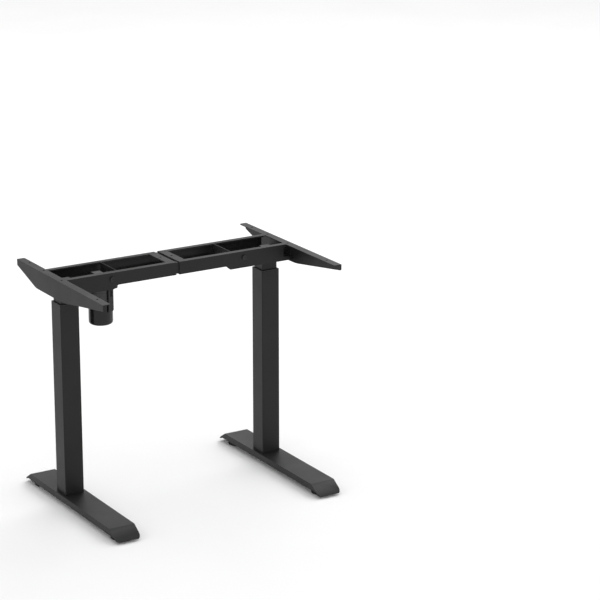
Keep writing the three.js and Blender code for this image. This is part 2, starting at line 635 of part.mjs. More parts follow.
/** The upright slot beside the plug housing that the motor's leads pass through. */
function leadSlot(z0, z1) {
  const middle = MOTOR_X + LEAD_SLOT_SIDE;
  return block(
    [middle - LEAD_SLOT_WIDTH / 2, MOTOR_Y - MOTOR_RADIUS - 1, z0],
    [middle + LEAD_SLOT_WIDTH / 2, MOTOR_Y - MOTOR_RADIUS / 2, z1]);
}

/** A round can with a filleted bottom. */
function motorCan() {
  const fillet = Array.from({ length: 6 }, (_, i) => {
    const angle = (i * Math.PI) / 10;
    return [
      MOTOR_RADIUS - MOTOR_FILLET * (1 - Math.sin(angle)),
      MOTOR_BOTTOM + MOTOR_FILLET * (1 - Math.cos(angle)),
    ];
  });
  const can = turned([[0, MOTOR_BOTTOM], ...fillet, [MOTOR_RADIUS, CAN_TOP], [0, CAN_TOP]],
    MOTOR_X, MOTOR_Y, 40);
  const bore = MOTOR_RADIUS - MOTOR_WALL;
  const hollow = turned([
    [0, MOTOR_BOTTOM + MOTOR_WALL],
    [bore - MOTOR_FILLET, MOTOR_BOTTOM + MOTOR_WALL],
    [bore, MOTOR_BOTTOM + MOTOR_FILLET + MOTOR_WALL],
    [bore, CAN_TOP + 1],
    [0, CAN_TOP + 1],
  ], MOTOR_X, MOTOR_Y, 40);
  return cut(can, hollow, leadSlot(MOTOR_BOTTOM + LEAD_SLOT_LIFT, CAN_TOP - LEAD_SLOT_END));
}

/** The ribbed end bell on the can, with the flange that hangs the motor from the saddle. */
function motorBell() {
  const ring = (radius, z0, z1) => barZ(radius, MOTOR_X, MOTOR_Y, z0, z1, 40);
  const step = (FLANGE_BOTTOM - BELL_BOTTOM - BELL_RIB_HEIGHT) / BELL_RIBS;
  const ribs = Array.from({ length: BELL_RIBS }, (_, i) =>
    ring(MOTOR_RADIUS, BELL_BOTTOM + i * step, BELL_BOTTOM + i * step + BELL_RIB_HEIGHT));
  const front = railLip("front") + GAP;
  const flange = plateZ(outline([
    [MOTOR_X - BELL_FLANGE_OUTER, front],
    [MOTOR_X + BELL_FLANGE_INNER, front],
    [MOTOR_X + BELL_FLANGE_INNER, 2 * MOTOR_Y - front],
    [MOTOR_X - BELL_FLANGE_OUTER, 2 * MOTOR_Y - front],
  ], BELL_FLANGE_CORNER), FLANGE_BOTTOM, MOTOR_TOP);
  return cut(
    join(ring(MOTOR_RADIUS - BELL_STEP, BELL_BOTTOM, FLANGE_BOTTOM + 1), ...ribs, flange),
    ring(MOTOR_RADIUS - MOTOR_WALL, BELL_BOTTOM - 1, FLANGE_BOTTOM - GAP),
    barZ(MOTOR_SHAFT + CLEARANCE, MOTOR_X, MOTOR_Y, 0, FRAME_TOP),
    leadSlot(BELL_BOTTOM + LEAD_SLOT_END, FLANGE_BOTTOM - LEAD_SLOT_END));
}

const motorMagnets = () => cut(
  barZ(MOTOR_RADIUS - MOTOR_WALL - GAP, MOTOR_X, MOTOR_Y, MAGNET_BOTTOM, MAGNET_TOP, 40),
  barZ(ARMATURE_RADIUS + 1, MOTOR_X, MOTOR_Y, 0, FRAME_TOP, 32));

/** Armature, shaft and worm in one. */
function motorRotor() {
  const core = WORM_RADIUS - DEDENDUM;
  const wormHalf = (WORM_TURNS * WORM_STARTS * Math.PI * MODULE) / 2 + TOOTH_ROOT * MODULE * Math.PI;
  const wormBottom = DRIVE_HEIGHT - wormHalf - WORM_COLLAR;
  const wormTop = DRIVE_HEIGHT + wormHalf + WORM_COLLAR;
  const body = turned([
    [0, MAGNET_BOTTOM - ARMATURE_TAIL],
    [MOTOR_SHAFT, MAGNET_BOTTOM - ARMATURE_TAIL],
    [MOTOR_SHAFT, MAGNET_BOTTOM],
    [ARMATURE_RADIUS, MAGNET_BOTTOM],
    [ARMATURE_RADIUS, MAGNET_TOP],
    [MOTOR_SHAFT, MAGNET_TOP],
    [MOTOR_SHAFT, wormBottom],
    [core, wormBottom],
    [core, wormTop],
    [0, wormTop],
  ], MOTOR_X, MOTOR_Y, 24);
  const threads = Array.from({ length: WORM_STARTS }, (_, i) => wormThread((i * 2 * Math.PI) / WORM_STARTS));
  return join(body, ...threads);
}

/** The plug housing on the front of the motor, shaped to the can. */
function motorPlugHousing() {
  const side = MOTOR_X + PLUG_SIDE;
  const front = MOTOR_Y - PLUG_FRONT;
  const bottom = MOTOR_BOTTOM + PLUG_LIFT;
  const top = FLANGE_BOTTOM - GAP;
  const shape = outline([
    [MOTOR_X + PLUG_ROOT, bottom],
    [side - PLUG_CHAMFER, bottom],
    [side, bottom + PLUG_CHAMFER],
    [side, top],
    [MOTOR_X + PLUG_ROOT, top],
  ], 0.8);
  const slotSide = side - PLUG_SLOT_SIDE;
  const slotTop = top - PLUG_SLOT_DROP;
  const slot = block(
    [slotSide - PLUG_SLOT_WIDTH, front - 1, slotTop - PLUG_SLOT_HEIGHT],
    [slotSide, front + PLUG_SLOT_DEPTH, slotTop]);
  return cut(
    plateY(shape, front, MOTOR_Y),
    barZ(MOTOR_RADIUS + GAP, MOTOR_X, MOTOR_Y, 0, FRAME_TOP, 40),
    slot);
}

// ---- top frame ----------------------------------------------------------------------------------------
/** Where the rails and the end plate of one half start, from the middle. */
const halfStart = (side) => RAIL_MIDDLE_GAP / 2 + side * RAIL_MIDDLE;

/** Pressed C rail of one half. */
function rail(name, face) {
  const side = SIDES[name];
  const step = COLUMN_AT - HEAD_REACH[name];
  const start = halfStart(side);
  const end = BRACKET_INNER - GAP;
  const lowEnd = WEB_INNER - GAP;
  const web = outline([
    [side * start, FRAME_TOP],
    [side * start, RAIL_BOTTOM],
    [side * step, RAIL_BOTTOM, 3],
    [side * (step + HEAD_SLOPE), HEAD_BOTTOM, 3],
    [side * lowEnd, HEAD_BOTTOM],
    [side * lowEnd, RAIL_BOTTOM + 1, 2],
    [side * (end - RAIL_NOTCH), RAIL_BOTTOM + 1, 3],
    [side * (end - RAIL_NOTCH), FRAME_TOP - RAIL_NOTCH_TOP, 3],
    [side * end, FRAME_TOP - RAIL_NOTCH_TOP, 3],
    [side * end, FRAME_TOP],
  ]);
  const outer = railFace(face);
  const lip = railLip(face);
  const flange = (x0, x1, z0, z1) => block([side * x0, outer, z0], [side * x1, lip, z1]);
  return cut(
    join(
      plateY(web, outer, railInnerFace(face)),
      flange(start, end, FRAME_TOP - SHEET, FRAME_TOP),
      flange(start, step - HEAD_MARGIN, RAIL_BOTTOM, RAIL_BOTTOM + SHEET),
      flange(step + HEAD_SLOPE + HEAD_MARGIN, lowEnd, HEAD_BOTTOM, HEAD_BOTTOM + SHEET)),
    barY(
      LOCK_BOLT_SHANK + CLEARANCE, side * LOCK_BOLT_AT, LOCK_BOLT_Z,
      railInnerFace(face) - FACES[face], railFace(face) + FACES[face], 16));
}

function lockBolt(side, face) {
  const x = side * LOCK_BOLT_AT;
  const out = FACES[face];
  const seat = railFace(face) + out * GAP;
  const crown = seat + out * LOCK_BOLT_HEIGHT;
  return cut(
    join(
      barY(LOCK_BOLT_HEAD, x, LOCK_BOLT_Z, seat, crown),
      barY(LOCK_BOLT_SHANK, x, LOCK_BOLT_Z, railInnerFace(face), seat + out, 16)),
    barY(LOCK_BOLT_KEY, x, LOCK_BOLT_Z, crown - out * LOCK_BOLT_KEY_DEPTH, crown + out, 6));
}

/** The plate between the rails of one half at the middle of the desk, with one hole for a desktop screw. */
function endPlate(side) {
  const inner = halfStart(side);
  const outer = inner + END_PLATE_WIDTH;
  const front = railLip("front") + GAP;
  const rear = railLip("rear") - GAP;
  const plate = block([side * inner, front, FRAME_TOP - SHEET], [side * outer, rear, FRAME_TOP]);
  const hole = barZ(SCREW_HOLE, side * (inner + outer) / 2, 0, FRAME_TOP - SHEET - 1, FRAME_TOP + 1, 16);
  return cut(plate, hole);
}

function partition(name) {
  const side = SIDES[name];
  const front = railLip("front") + GAP;
  const rear = railLip("rear") - GAP;
  const near = side * (COLUMN_AT - PARTITION_SETBACK[name]);
  const far = near + side * PARTITION_SHEET;
  const through = (radius, y, z, segments) => barX(radius, y, z, near - side, far + side, segments);
  const pinholes = PARTITION_PINHOLE_DROPS.map((drop) =>
    through(PARTITION_PINHOLE, rear - PARTITION_PINHOLE_INSET, FRAME_TOP - drop, 12));
  return cut(
    block([near, front, RAIL_BOTTOM + SHEET + GAP], [far, rear, FRAME_TOP - GAP]),
    through(PARTITION_HOLE, 0, DRIVE_HEIGHT, 24),
    ...pinholes);
}

/** The pan that carries the column, the gearbox and the side bracket of one half. */
function headSaddle(name) {
  const side = SIDES[name];
  const inner = side * SADDLE_INNER[name];
  const outer = side * (WEB_INNER - GAP);
  const front = railInnerFace("front") + GAP;
  const rear = railInnerFace("rear") - GAP;
  const wallTop = FRAME_TOP - SHEET - GAP;
  const hole = (radius, x, y) => barZ(radius, x, y, SADDLE_BOTTOM - 1, SADDLE_TOP + 1);
  const saddle = cut(
    join(
      block([inner, front, SADDLE_BOTTOM], [outer, rear, SADDLE_TOP]),
      block([outer - side * SHEET, front, SADDLE_BOTTOM], [outer, rear, wallTop])),
    hole(SCREW_RADIUS + 2, side * COLUMN_AT, 0));
  if (name === "right") return saddle;
  const shelfEdge = (y) => block(
    [inner, y, SADDLE_BOTTOM], [inner + side * MOTOR_SHELF, y + SHEET, RAIL_BOTTOM - GAP]);
  return cut(
    join(saddle, shelfEdge(front), shelfEdge(rear - SHEET)),
    hole(MOTOR_SHAFT + 2, MOTOR_X, MOTOR_Y));
}

/** L-section arm under the side of the desktop: web outside, flange on top pointing inwards. */
function sideBracket(side) {
  const end = FRAME_TOP - BRACKET_END_DEPTH;
  const deep = FRAME_TOP - BRACKET_DEPTH;
  const web = outline([
    [-BRACKET_FRONT, FRAME_TOP],
    [-BRACKET_FRONT, end, 5],
    [-BRACKET_KNEE_FRONT, deep, 20],
    [BRACKET_KNEE_BACK, deep, 12],
    [BRACKET_BACK, end, 3],
    [BRACKET_BACK, FRAME_TOP],
  ]);
  const flange = outline([
    [side * BRACKET_FACE, -BRACKET_FRONT],
    [side * BRACKET_INNER, -BRACKET_FRONT, 4],
    [side * BRACKET_INNER, BRACKET_BACK, 7],
    [side * BRACKET_FACE, BRACKET_BACK],
  ]);
  const holeX = side * (BRACKET_INNER + BRACKET_FLANGE * 0.45);
  const holes = BRACKET_HOLES.map((y) =>
    barZ(SCREW_HOLE, holeX, y, FRAME_TOP - SHEET - 1, FRAME_TOP + 1, 16));
  return cut(
    join(
      plateX(web, side * WEB_INNER, side * BRACKET_FACE),
      plateZ(flange, FRAME_TOP - SHEET, FRAME_TOP)),
    ...holes);
}

/** C bar that slides inside the right rails and is bolted in the left ones. */
function slideRail(face) {
  const out = FACES[face];
  const outer = railInnerFace(face) - out * GAP;
  const lip = outer - out * SLIDE_RAIL_DEPTH;
  const top = FRAME_TOP - SHEET - GAP;
  const bottom = RAIL_BOTTOM + SHEET + GAP;
  const shape = outline([
    [outer, bottom],
    [lip, bottom],
    [lip, bottom + SHEET],
    [outer - out * SHEET, bottom + SHEET],
    [outer - out * SHEET, top - SHEET],
    [lip, top - SHEET],
    [lip, top],
    [outer, top],
  ]);
  const reach = COLUMN_AT + SLIDE_RAIL_OVERRUN;
  return plateX(shape, -reach, reach);
}

// ---- assembly -----------------------------------------------------------------------------------------
const desk = new THREE.Group();
desk.position.y = (BENT_LENGTH_FRONT - BENT_LENGTH_BACK) / 2;

function add(name, finish, body) {
  const mesh = new THREE.Mesh(geometryOf(body), new THREE.MeshStandardMaterial(FINISHES[finish]));
  mesh.name = name;
  desk.add(mesh);
}

for (const [name, side] of Object.entries(SIDES)) {
  const x = side * COLUMN_AT;
  add(`${name}_foot`, "powder_coat", foot(x));
  add(`${name}_base_plate`, "zinc_steel", basePlate(x));
  add(`${name}_outer_tube`, "powder_coat", outerTube(x));
  add(`${name}_guide_collar`, "black_plastic", guideCollar(x));
  add(`${name}_nut_tube`, "zinc_steel", nutTube(x));
  add(`${name}_lift_nut`, "bronze", liftNut(x));
  for (const [end, y] of Object.entries(GLIDES)) add(`${name}_${end}_glide`, "black_rubber", glide(x, y));
  add(`${name}_inner_tube`, "powder_coat", innerTube(x));
  add(`${name}_slide_shoe`, "black_plastic", slideShoe(x));
  add(`${name}_lead_screw`, "zinc_steel", leadScrew(x));
  add(`${name}_screw_gear`, "zinc_steel", screwGear(x));
  add(`${name}_screw_bearing`, "zinc_steel", screwBearing(x));
  add(`${name}_gearbox_case`, "black_casting", gearboxCase(side));
  add(`${name}_shaft_bush`, "bronze", shaftBush(side));
  add(`${name}_head_saddle`, "powder_coat", headSaddle(name));
  add(`${name}_end_plate`, "powder_coat", endPlate(side));
  add(`${name}_partition`, "powder_coat", partition(name));
  add(`${name}_side_bracket`, "powder_coat", sideBracket(side));
  for (const face of Object.keys(FACES)) {
    add(`${name}_${face}_rail`, "powder_coat", rail(name, face));
    add(`${name}_${face}_lock_bolt`, "black_screw", lockBolt(side, face));
  }
}
for (const face of Object.keys(FACES)) add(`${face}_slide_rail`, "powder_coat", slideRail(face));
add("drive_rod", "zinc_steel", driveRod());
add("left_shaft_gear", "zinc_steel", shaftGear(-1, hexRadius(ROD_ACROSS_FLATS + 2 * GAP), 6));
add("worm_wheel", "bronze", wormWheel());
add("drive_tube", "zinc_steel", driveTube());
add("right_shaft_gear", "zinc_steel", shaftGear(1, SCREW_JOURNAL + GAP, 16));
add("motor_can", "motor_coat", motorCan());
add("motor_bell", "black_casting", motorBell());
add("motor_magnets", "black_screw", motorMagnets());
add("motor_rotor", "zinc_steel", motorRotor());
add("motor_gearcase", "black_casting", motorGearcase());
add("motor_plug_housing", "black_plastic", motorPlugHousing());

export default desk;
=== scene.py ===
"""Looks of a height adjustable desk frame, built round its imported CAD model.

Metres, +Z up, +X from the motor column to the plain column, and the user stands on the -Y side.
"""

import logging
import math
from collections.abc import Iterable
from dataclasses import dataclass
from enum import Enum

import bmesh
import bpy
from mathutils import Matrix, Vector


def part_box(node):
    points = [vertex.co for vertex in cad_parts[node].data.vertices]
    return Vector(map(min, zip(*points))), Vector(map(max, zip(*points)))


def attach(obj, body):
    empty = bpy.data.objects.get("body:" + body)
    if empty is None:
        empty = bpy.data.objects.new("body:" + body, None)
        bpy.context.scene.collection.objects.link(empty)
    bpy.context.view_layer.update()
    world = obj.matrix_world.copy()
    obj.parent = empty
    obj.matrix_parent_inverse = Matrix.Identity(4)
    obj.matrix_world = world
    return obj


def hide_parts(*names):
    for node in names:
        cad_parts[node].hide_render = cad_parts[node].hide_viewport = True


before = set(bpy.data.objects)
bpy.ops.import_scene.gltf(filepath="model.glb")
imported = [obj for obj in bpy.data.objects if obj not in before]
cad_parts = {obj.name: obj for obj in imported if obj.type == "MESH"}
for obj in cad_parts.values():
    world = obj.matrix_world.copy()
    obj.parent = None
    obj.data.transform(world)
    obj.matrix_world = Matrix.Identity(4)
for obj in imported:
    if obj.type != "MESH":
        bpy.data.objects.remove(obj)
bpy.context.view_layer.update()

log = logging.getLogger("desk_frame")

MM = 0.001
# Faces of the rounded edges, which get rubbed wear and a painted sheen in their colour.
EDGE_LAYER = "worn_edge"
CAD_MERGE = 0.005 * MM
TURNED_MERGE = 0.002 * MM
FLAT_BELOW = math.radians(0.5)
SMOOTH_BELOW = math.radians(38)

Colour = tuple[float, float, float]


class Side(Enum):
    """The two halves of the frame, with the sign of their X."""

    LEFT = -1
    RIGHT = 1

    @property
    def word(self) -> str:
        """The half's name, as the CAD nodes spell it."""
        return self.name.lower()

    @property
    def base(self) -> str:
        """The body that stands on the floor."""
        return f"{self.word}_base"

    @property
    def head(self) -> str:
        """The body that goes up and down."""
        return f"{self.word}_head"


class Face(Enum):
    """The long faces of the top frame, with the sign of their Y."""

    FRONT = -1
    REAR = 1

    @property
    def word(self) -> str:
        """The face's name, as the CAD nodes spell it."""
        return self.name.lower()


# ---- shader effects ---------------------------------------------------------------------------------


class Wiring:
    """Adds nodes to a node tree and links them."""

    def __init__(self, tree: bpy.types.NodeTree) -> None:
        """Takes the tree that the nodes go in."""
        self.tree = tree

    def add(self, kind: str, feeds: dict | None = None, **settings: object) -> bpy.types.Node:
        """Adds one node.

        Args:
            kind: Blender's name for the node type.
            feeds: for each input, by name or number, a fixed value or the output that drives it.
            settings: the node's own options.

        Returns:
            The new node.
        """
        node = self.tree.nodes.new(kind)
        for option, value in settings.items():
            setattr(node, option, value)
        for key, value in (feeds or {}).items():
            if isinstance(value, bpy.types.NodeSocket):
                self.tree.links.new(value, node.inputs[key])
            else:
                node.inputs[key].default_value = value
        return node

    def blend(self, amount: object, low: object, high: object) -> bpy.types.NodeSocket:
        """Mixes two colours.

        Args:
            amount: share of the second colour.
            low: colour at 0.
            high: colour at 1.

        Returns:
            The mixed colour.
        """
        node = self.add("ShaderNodeMix", data_type="RGBA")
        for name, value in (("Factor_Float", amount), ("A_Color", low), ("B_Color", high)):
            socket = next(s for s in node.inputs if s.identifier == name)
            if isinstance(value, bpy.types.NodeSocket):
                self.tree.links.new(value, socket)
            else:
                socket.default_value = value
        return next(s for s in node.outputs if s.identifier == "Result_Color")

    def remap(self, value: bpy.types.NodeSocket, low: float, high: float) -> bpy.types.NodeSocket:
        """Stretches a 0 to 1 value to a range.

        Args:
            value: the value that varies.
            low: result at 0.
            high: result at 1.

        Returns:
            The stretched value.
        """
        return self.add("ShaderNodeMapRange", {"Value": value, "To Min": low, "To Max": high}).outputs[0]

    def spread(self, value: bpy.types.NodeSocket, low: float, high: float) -> bpy.types.NodeSocket:
        """Stretches part of a value's range to 0 to 1.

        Args:
            value: the value that varies.
            low: what gives 0.
            high: what gives 1.

        Returns:
            The stretched value.
        """
        return self.add("ShaderNodeMapRange", {"Value": value, "From Min": low, "From Max": high}).outputs[0]

    def noise(
        self, place: object, scale: object, detail: float, roughness: float = 0.5,
    ) -> bpy.types.NodeSocket:
        """Adds soft noise.

        Args:
            place: where on the surface it is read.
            scale: how fine it is.
            detail: number of finer layers in it.
            roughness: strength of the finer layers.

        Returns:
            The noise, from 0 to 1.
        """
        return self.add("ShaderNodeTexNoise", {
            "Vector": place, "Scale": scale, "Detail": detail, "Roughness": roughness,
        }).outputs[0]

    def math(self, operation: str, first: object, second: object) -> bpy.types.NodeSocket:
        """Does one sum.

        Args:
            operation: Blender's name for the sum.
            first: left value.
            second: right value.

        Returns:
            The result.
        """
        return self.add("ShaderNodeMath", {0: first, 1: second}, operation=operation).outputs[0]


@dataclass(frozen=True)
class Effect:
    """A node group that several finishes share."""

    name: str
    inputs: tuple[tuple[str, str, object], ...]
    outputs: tuple[tuple[str, str], ...]

    def group(self) -> bpy.types.NodeTree:
        """Gives the group, and makes it the first time.

        Returns:
            The node group.
        """
        found = bpy.data.node_groups.get(self.name)
        if found:
            return found
        tree = bpy.data.node_groups.new(self.name, "ShaderNodeTree")
        for name, kind, value in self.inputs:
            socket = tree.interface.new_socket(name, in_out="INPUT", socket_type=kind)
            if value is not None:
                socket.default_value = value
        for name, kind in self.outputs:
            tree.interface.new_socket(name, in_out="OUTPUT", socket_type=kind)
        wiring = Wiring(tree)
        ends = wiring.add("NodeGroupInput"), wiring.add("NodeGroupOutput")
        self.wire(wiring, ends[0].outputs, ends[1].inputs)
        return tree

    def wire(self, wiring: Wiring, given: object, result: object) -> None:
        """Fills the group.

        Args:
            wiring: what adds the nodes.
            given: the group's inputs.
            result: the group's outputs.
        """
        raise NotImplementedError

    def place(self, wiring: Wiring, **values: object) -> bpy.types.Node:
        """Puts the group in a material.

        Args:
            wiring: what adds nodes to the material.
            values: the group's inputs, by name.

        Returns:
            The group node.
        """
        return wiring.add("ShaderNodeGroup", dict(values), node_tree=self.group())


@dataclass(frozen=True)
class Grain(Effect):
    """Fine bumps, as on textured paint, moulded plastic and castings."""

    name: str = "fine_grain"
    inputs: tuple = (
        ("Vector", "NodeSocketVector", None),
        ("Scale", "NodeSocketFloat", 900.0),
        ("Pits", "NodeSocketFloat", 0.4),
    )
    outputs: tuple = (("Height", "NodeSocketFloat"),)

    def wire(self, wiring: Wiring, given: object, result: object) -> None:
        """Mixes soft lumps with small round pits.

        Args:
            wiring: what adds the nodes.
            given: the group's inputs.
            result: the group's outputs.
        """
        lumps = wiring.noise(given["Vector"], given["Scale"], detail=3.0, roughness=0.55)
        pits = wiring.add(
            "ShaderNodeTexVoronoi",
            {"Vector": given["Vector"], "Scale": given["Scale"], "Smoothness": 0.6},
            feature="SMOOTH_F1",
        )
        sunk = wiring.math("MULTIPLY", pits.outputs["Distance"], given["Pits"])
        height = wiring.math("SUBTRACT", lumps, sunk)
        wiring.tree.links.new(height, result["Height"])


@dataclass(frozen=True)
class Mottle(Effect):
    """Slow changes of tone over a surface, with finer specks in them."""

    name: str = "slow_mottle"
    inputs: tuple = (
        ("Vector", "NodeSocketVector", None),
        ("Scale", "NodeSocketFloat", 9.0),
        ("Specks", "NodeSocketFloat", 0.25),
    )
    outputs: tuple = (("Mask", "NodeSocketFloat"),)
    specks_per_cloud: float = 60.0
    cloud_range: tuple[float, float] = (0.3, 0.7)

    def wire(self, wiring: Wiring, given: object, result: object) -> None:
        """Adds specks to slow clouds.

        Args:
            wiring: what adds the nodes.
            given: the group's inputs.
            result: the group's outputs.
        """
        clouds = wiring.noise(given["Vector"], given["Scale"], detail=4.0)
        fine_scale = wiring.math("MULTIPLY", given["Scale"], self.specks_per_cloud)
        specks = wiring.noise(given["Vector"], fine_scale, detail=2.0)
        centred = wiring.math("SUBTRACT", specks, 0.5)
        added = wiring.math("MULTIPLY", centred, given["Specks"])
        total = wiring.add("ShaderNodeMath", {0: clouds, 1: added}, operation="ADD", use_clamp=True)
        wiring.tree.links.new(wiring.spread(total.outputs[0], *self.cloud_range), result["Mask"])


@dataclass(frozen=True)
class EdgeWear(Effect):
    """A broken line along the rounded edges of a piece, where a coat is thin and rubbed; the same line
    carries a painted sheen, the highlight of the rounded edges painted into the colour.
    """

    name: str = "edge_wear"
    inputs: tuple = (
        ("Vector", "NodeSocketVector", None),
        ("Scale", "NodeSocketFloat", 45.0),
        ("Amount", "NodeSocketFloat", 0.6),
    )
    outputs: tuple = (("Mask", "NodeSocketFloat"),)
    break_range: tuple[float, float] = (0.35, 0.65)

    def wire(self, wiring: Wiring, given: object, result: object) -> None:
        """Breaks up the edge layer with noise.

        Args:
            wiring: what adds the nodes.
            given: the group's inputs.
            result: the group's outputs.
        """
        edge = wiring.add("ShaderNodeAttribute", attribute_name=EDGE_LAYER)
        breakup = wiring.noise(given["Vector"], given["Scale"], detail=5.0)
        gaps = wiring.spread(breakup, *self.break_range)
        broken = wiring.math("MULTIPLY", edge.outputs["Fac"], gaps)
        mask = wiring.math("MULTIPLY", broken, given["Amount"])
        wiring.tree.links.new(mask, result["Mask"])


@dataclass(frozen=True)
class Streaks(Effect):
    """Fine parallel marks, as grinding, turning and drawing leave."""

    name: str = "tool_streaks"
    inputs: tuple = (
        ("Vector", "NodeSocketVector", None),
        ("Along", "NodeSocketVector", (400.0, 400.0, 8.0)),
    )
    outputs: tuple = (("Height", "NodeSocketFloat"),)

    def wire(self, wiring: Wiring, given: object, result: object) -> None:
        """Draws noise out along one way.

        Args:
            wiring: what adds the nodes.
            given: the group's inputs.
            result: the group's outputs.
        """
        drawn = wiring.add(
            "ShaderNodeVectorMath", {0: given["Vector"], 1: given["Along"]}, operation="MULTIPLY"
        )
        marks = wiring.noise(drawn.outputs[0], 1.0, detail=3.0)
        wiring.tree.links.new(marks, result["Height"])


# ---- finishes ---------------------------------------------------------------------------------------


@dataclass(frozen=True)
class Finish:
    """A material: two tones that drift into each other, a grain and a gloss, with a lighter tone on its
    rounded edges that is partly rubbed wear and partly painted sheen.
    """

    name: str
    slot: str
    dark: Colour
    light: Colour
    # Colour of the rounded edges: rubbed wear, made lighter still as a painted sheen.
    edge: Colour
    gloss: tuple[float, float] = (0.45, 0.55)
    grain_scale: float = 900.0
    grain_depth: float = 0.05 * MM
    pits: float = 0.4
    # Strength of the edge colour, which is rubbed wear and painted sheen together.
    wear: float = 0.4
    rub_shine: float = 0.12
    metallic: float = 0.0
    specular: float = 0.4
    coat: float = 0.0
    coat_gloss: float = 0.1
    mottle_scale: float = 9.0
    streaks: tuple[float, float, float] | None = None

    def material(self) -> bpy.types.Material:
        """Gives the material, and makes it the first time.

        Returns:
            The material.
        """
        found = bpy.data.materials.get(self.name)
        if found:
            return found
        made = bpy.data.materials.new(self.name)
        made.use_nodes = True
        made.node_tree.nodes.clear()
        self._wire(Wiring(made.node_tree))
        return made

    def _wire(self, wiring: Wiring) -> None:
        """Builds the material's nodes.

        Args:
            wiring: what adds nodes to the material.
        """
        place = wiring.add("ShaderNodeTexCoord").outputs["Object"]
        mottle = Mottle().place(wiring, Vector=place, Scale=self.mottle_scale).outputs["Mask"]
        worn_and_sheen = EdgeWear().place(wiring, Vector=place, Amount=self.wear).outputs["Mask"]
        tone = wiring.blend(mottle, (*self.dark, 1), (*self.light, 1))
        # Painted sheen and wear: the rounded edges are lightened towards the edge colour.
        colour = wiring.blend(worn_and_sheen, tone, (*self.edge, 1))
        grain = Grain().place(wiring, Vector=place, Scale=self.grain_scale, Pits=self.pits)
        height = grain.outputs["Height"]
        if self.streaks:
            marks = Streaks().place(wiring, Vector=place, Along=self.streaks).outputs["Height"]
            height = wiring.math("ADD", height, marks)
        rubbed = wiring.math("MULTIPLY", worn_and_sheen, self.rub_shine)
        roughness = wiring.math("SUBTRACT", wiring.remap(mottle, *self.gloss), rubbed)
        bump = wiring.add("ShaderNodeBump", {"Height": height, "Strength": 1.0, "Distance": self.grain_depth})
        shader = wiring.add("ShaderNodeBsdfPrincipled", {
            "Base Color": colour,
            "Roughness": roughness,
            "Normal": bump.outputs[0],
            "Metallic": self.metallic,
            "Specular IOR Level": self.specular,
            "Coat Weight": self.coat,
            "Coat Roughness": self.coat_gloss,
        })
        wiring.add("ShaderNodeOutputMaterial", {"Surface": shader.outputs[0]})


def grey(value: float, warmth: float = 0.0) -> Colour:
    """Gives a grey.

    Args:
        value: how light it is, on a linear scale.
        warmth: how far it leans to red, as a share.

    Returns:
        The colour.
    """
    return (value * (1 + warmth), value, value * (1 - warmth))


# The third colour of each finish goes on its rounded edges: rubbed wear, lightened further as a painted
# sheen.
POWDER_COAT = Finish(
    "powder_coat_black", "powder_coat", grey(0.009), grey(0.013), grey(0.03, 0.02),
    gloss=(0.42, 0.52), grain_scale=1100.0, grain_depth=0.05 * MM, wear=0.5, specular=0.25)
MOTOR_PAINT = Finish(
    "motor_paint_black", "motor_coat", grey(0.006), grey(0.009), grey(0.04),
    gloss=(0.24, 0.32), grain_scale=420.0, grain_depth=0.02 * MM, pits=0.1, wear=0.4, specular=0.28,
    coat=0.08, coat_gloss=0.16)
MOULDED_PLASTIC = Finish(
    "moulded_plastic_black", "black_plastic", grey(0.014), grey(0.019), grey(0.03),
    gloss=(0.46, 0.58), grain_scale=1600.0, grain_depth=0.04 * MM, pits=0.6, wear=0.3, specular=0.4)
RUBBER = Finish(
    "pad_rubber_black", "black_rubber", grey(0.011), grey(0.022, 0.02), grey(0.035, 0.03),
    gloss=(0.7, 0.85), grain_scale=700.0, grain_depth=0.06 * MM, pits=0.3, wear=0.6, specular=0.3,
    mottle_scale=30.0)
ZINC_STEEL = Finish(
    "zinc_plated_steel", "zinc_steel", (0.50, 0.51, 0.53), (0.63, 0.63, 0.62), (0.72, 0.72, 0.72),
    gloss=(0.24, 0.40), grain_scale=500.0, grain_depth=0.01 * MM, pits=0.2, metallic=1.0,
    mottle_scale=40.0, streaks=(500.0, 500.0, 25.0))
BLACK_OXIDE = Finish(
    "black_oxide_steel", "black_screw", grey(0.022), grey(0.035), grey(0.16),
    gloss=(0.30, 0.42), grain_scale=800.0, grain_depth=0.015 * MM, metallic=0.75, mottle_scale=80.0,
    wear=0.35)
BLACK_CASTING = Finish(
    "black_casting", "black_casting", grey(0.016), grey(0.024), grey(0.07),
    gloss=(0.52, 0.66), grain_scale=380.0, grain_depth=0.12 * MM, pits=0.8, wear=0.5, specular=0.35,
    mottle_scale=20.0)
BRONZE = Finish(
    "machined_bronze", "bronze", (0.42, 0.26, 0.10), (0.58, 0.38, 0.17), (0.7, 0.5, 0.25),
    gloss=(0.28, 0.42), grain_scale=500.0, grain_depth=0.015 * MM, metallic=1.0, mottle_scale=50.0,
    streaks=(25.0, 25.0, 1500.0))


# ---- pieces -----------------------------------------------------------------------------------------


@dataclass(frozen=True)
class Rounding:
    """How the edges of a piece are rounded over."""

    radius: float = 0.6 * MM
    segments: int = 3
    sharper_than: float = math.radians(35)

    def apply(self, bm: bmesh.types.BMesh) -> None:
        """Rounds the sharp edges and marks the new faces as edge faces.

        Args:
            bm: the mesh.
        """
        layer = bm.faces.layers.float.new(EDGE_LAYER)
        sharp = [e for e in bm.edges if e.is_manifold and e.calc_face_angle() > self.sharper_than]
        rounded = bmesh.ops.bevel(
            bm, geom=sharp, offset=self.radius, offset_type="OFFSET", affect="EDGES",
            segments=self.segments, profile=0.5, material=-1, clamp_overlap=True)
        for face in rounded["faces"]:
            face[layer] = 1.0


